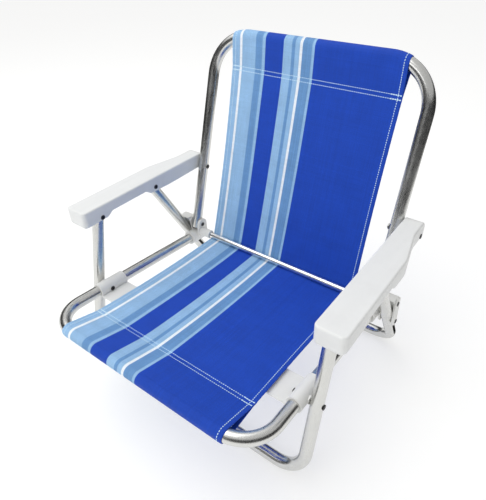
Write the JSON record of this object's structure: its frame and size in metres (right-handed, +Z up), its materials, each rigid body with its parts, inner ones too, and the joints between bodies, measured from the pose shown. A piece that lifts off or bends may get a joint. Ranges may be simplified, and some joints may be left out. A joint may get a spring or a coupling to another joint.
{
  "type": "folding camp chair",
  "caption": "Low folding sling chair: bent aluminium tube frames, moulded plastic arms and joints, striped cloth sling; folds flat forward.",
  "frame": {"origin": "on the floor, half way across the chair and half way along its depth", "axes": "+X to the sitter's left, +Y from the seat's front bar to the back, +Z up"},
  "size_m": [0.5716, 0.5304, 0.584],
  "materials": {
    "tube_aluminium": "satin, drawn tube",
    "arm_plastic": "fine satin moulding",
    "joint_plastic": "fine satin moulding",
    "sling_cloth": "plain woven cloth with stripes along its length",
    "rivet_steel": "blackened"
  },
  "bodies": {
    "seat": {"seat_frame_tube": "tube_aluminium", "rear_joint_left": "joint_plastic", "rear_joint_right": "joint_plastic", "rear_crossbar": "tube_aluminium", "front_bridge": "joint_plastic", "seat_sling": "sling_cloth", "front_leg_rivets": "rivet_steel", "back_pivot_rivets": "rivet_steel", "leg_guide_pins": "rivet_steel"},
    "back": {"back_frame_tube": "tube_aluminium", "back_sling": "sling_cloth", "arm_rear_rivets": "rivet_steel", "arm_rear_washers": "rivet_steel"},
    "arm_left": {"arm_left": "arm_plastic", "arm_left_front_pin": "rivet_steel", "arm_left_middle_pin": "rivet_steel"},
    "arm_right": {"arm_right": "arm_plastic", "arm_right_front_pin": "rivet_steel", "arm_right_middle_pin": "rivet_steel"},
    "front_leg": {"front_leg_tube": "tube_aluminium"},
    "rear_leg": {"rear_leg_tube": "tube_aluminium"}
  },
  "joints": [
    {"name": "back_fold", "type": "hinge", "parent": "seat", "child": "back", "pos_m": [0, 0.14534, 0.17184], "axis": [1, 0, 0], "range_deg": [0, 90]},
    {"name": "front_leg_fold", "type": "hinge", "parent": "seat", "child": "front_leg", "pos_m": [0, -0.12441, 0.1606], "axis": [1, 0, 0], "range_deg": [0, 87]},
    {"name": "arm_left_fold", "type": "hinge", "parent": "back", "child": "arm_left", "pos_m": [0, 0.18072, 0.30389], "axis": [1, 0, 0], "range_deg": [-88.5, 0]},
    {"name": "arm_right_fold", "type": "hinge", "parent": "back", "child": "arm_right", "pos_m": [0, 0.18072, 0.30389], "axis": [1, 0, 0], "range_deg": [-88.5, 0]},
    {"name": "rear_leg_fold", "type": "hinge", "parent": "arm_left", "child": "rear_leg", "pos_m": [0, 0.04351, 0.3053], "axis": [1, 0, 0], "range_deg": [0, 40.5]}
  ],
  "couplings": [
    {"joint": "front_leg_fold", "follows": "back_fold", "ratio": 0.96472},
    {"joint": "arm_left_fold", "follows": "back_fold", "ratio": -0.98144},
    {"joint": "arm_right_fold", "follows": "back_fold", "ratio": -0.98144},
    {"joint": "rear_leg_fold", "follows": "back_fold", "ratio": 0.44685}
  ]
}
